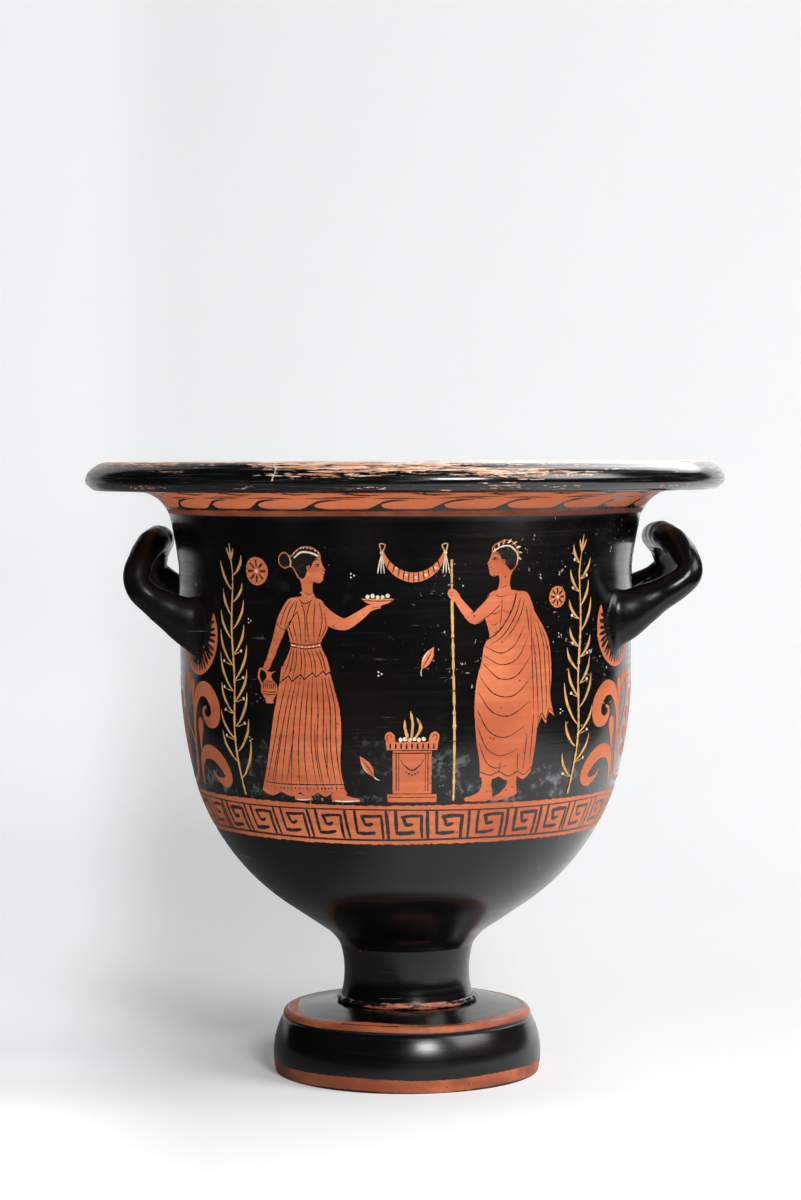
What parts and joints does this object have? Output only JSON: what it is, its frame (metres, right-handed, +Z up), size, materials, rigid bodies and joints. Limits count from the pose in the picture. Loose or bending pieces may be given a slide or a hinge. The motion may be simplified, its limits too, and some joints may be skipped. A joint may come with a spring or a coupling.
{
  "type": "bell krater",
  "caption": "Fired clay bell krater: wide thrown bowl with heavy rim, waisted stem, hollow disc foot and upturned loop handles.",
  "frame": {"origin": "middle of the ring that the foot stands on", "axes": "+Z up along the pot's axis, the handles along X, the front of the painted wall faces -Y"},
  "size_m": [0.35, 0.3499, 0.3357],
  "materials": {
    "foot": "black gloss slip, bare orange clay along the base edge and the step",
    "luting_clay": "bare fired clay, matt and uneven",
    "stem": "black gloss slip with turning marks",
    "lower_bowl": "black gloss slip with turning marks",
    "painted_wall": "black gloss slip round reserved orange clay, painted bands and figures",
    "rim": "black gloss slip worn through to orange clay in streaks",
    "handles": "black gloss slip, hand rolled"
  },
  "bodies": {
    "root": {"foot": "foot", "stem_collar": "luting_clay", "stem": "stem", "lower_bowl": "lower_bowl", "upper_wall": "painted_wall", "rim": "rim", "handle_left": "handles", "handle_right": "handles"}
  },
  "joints": []
}
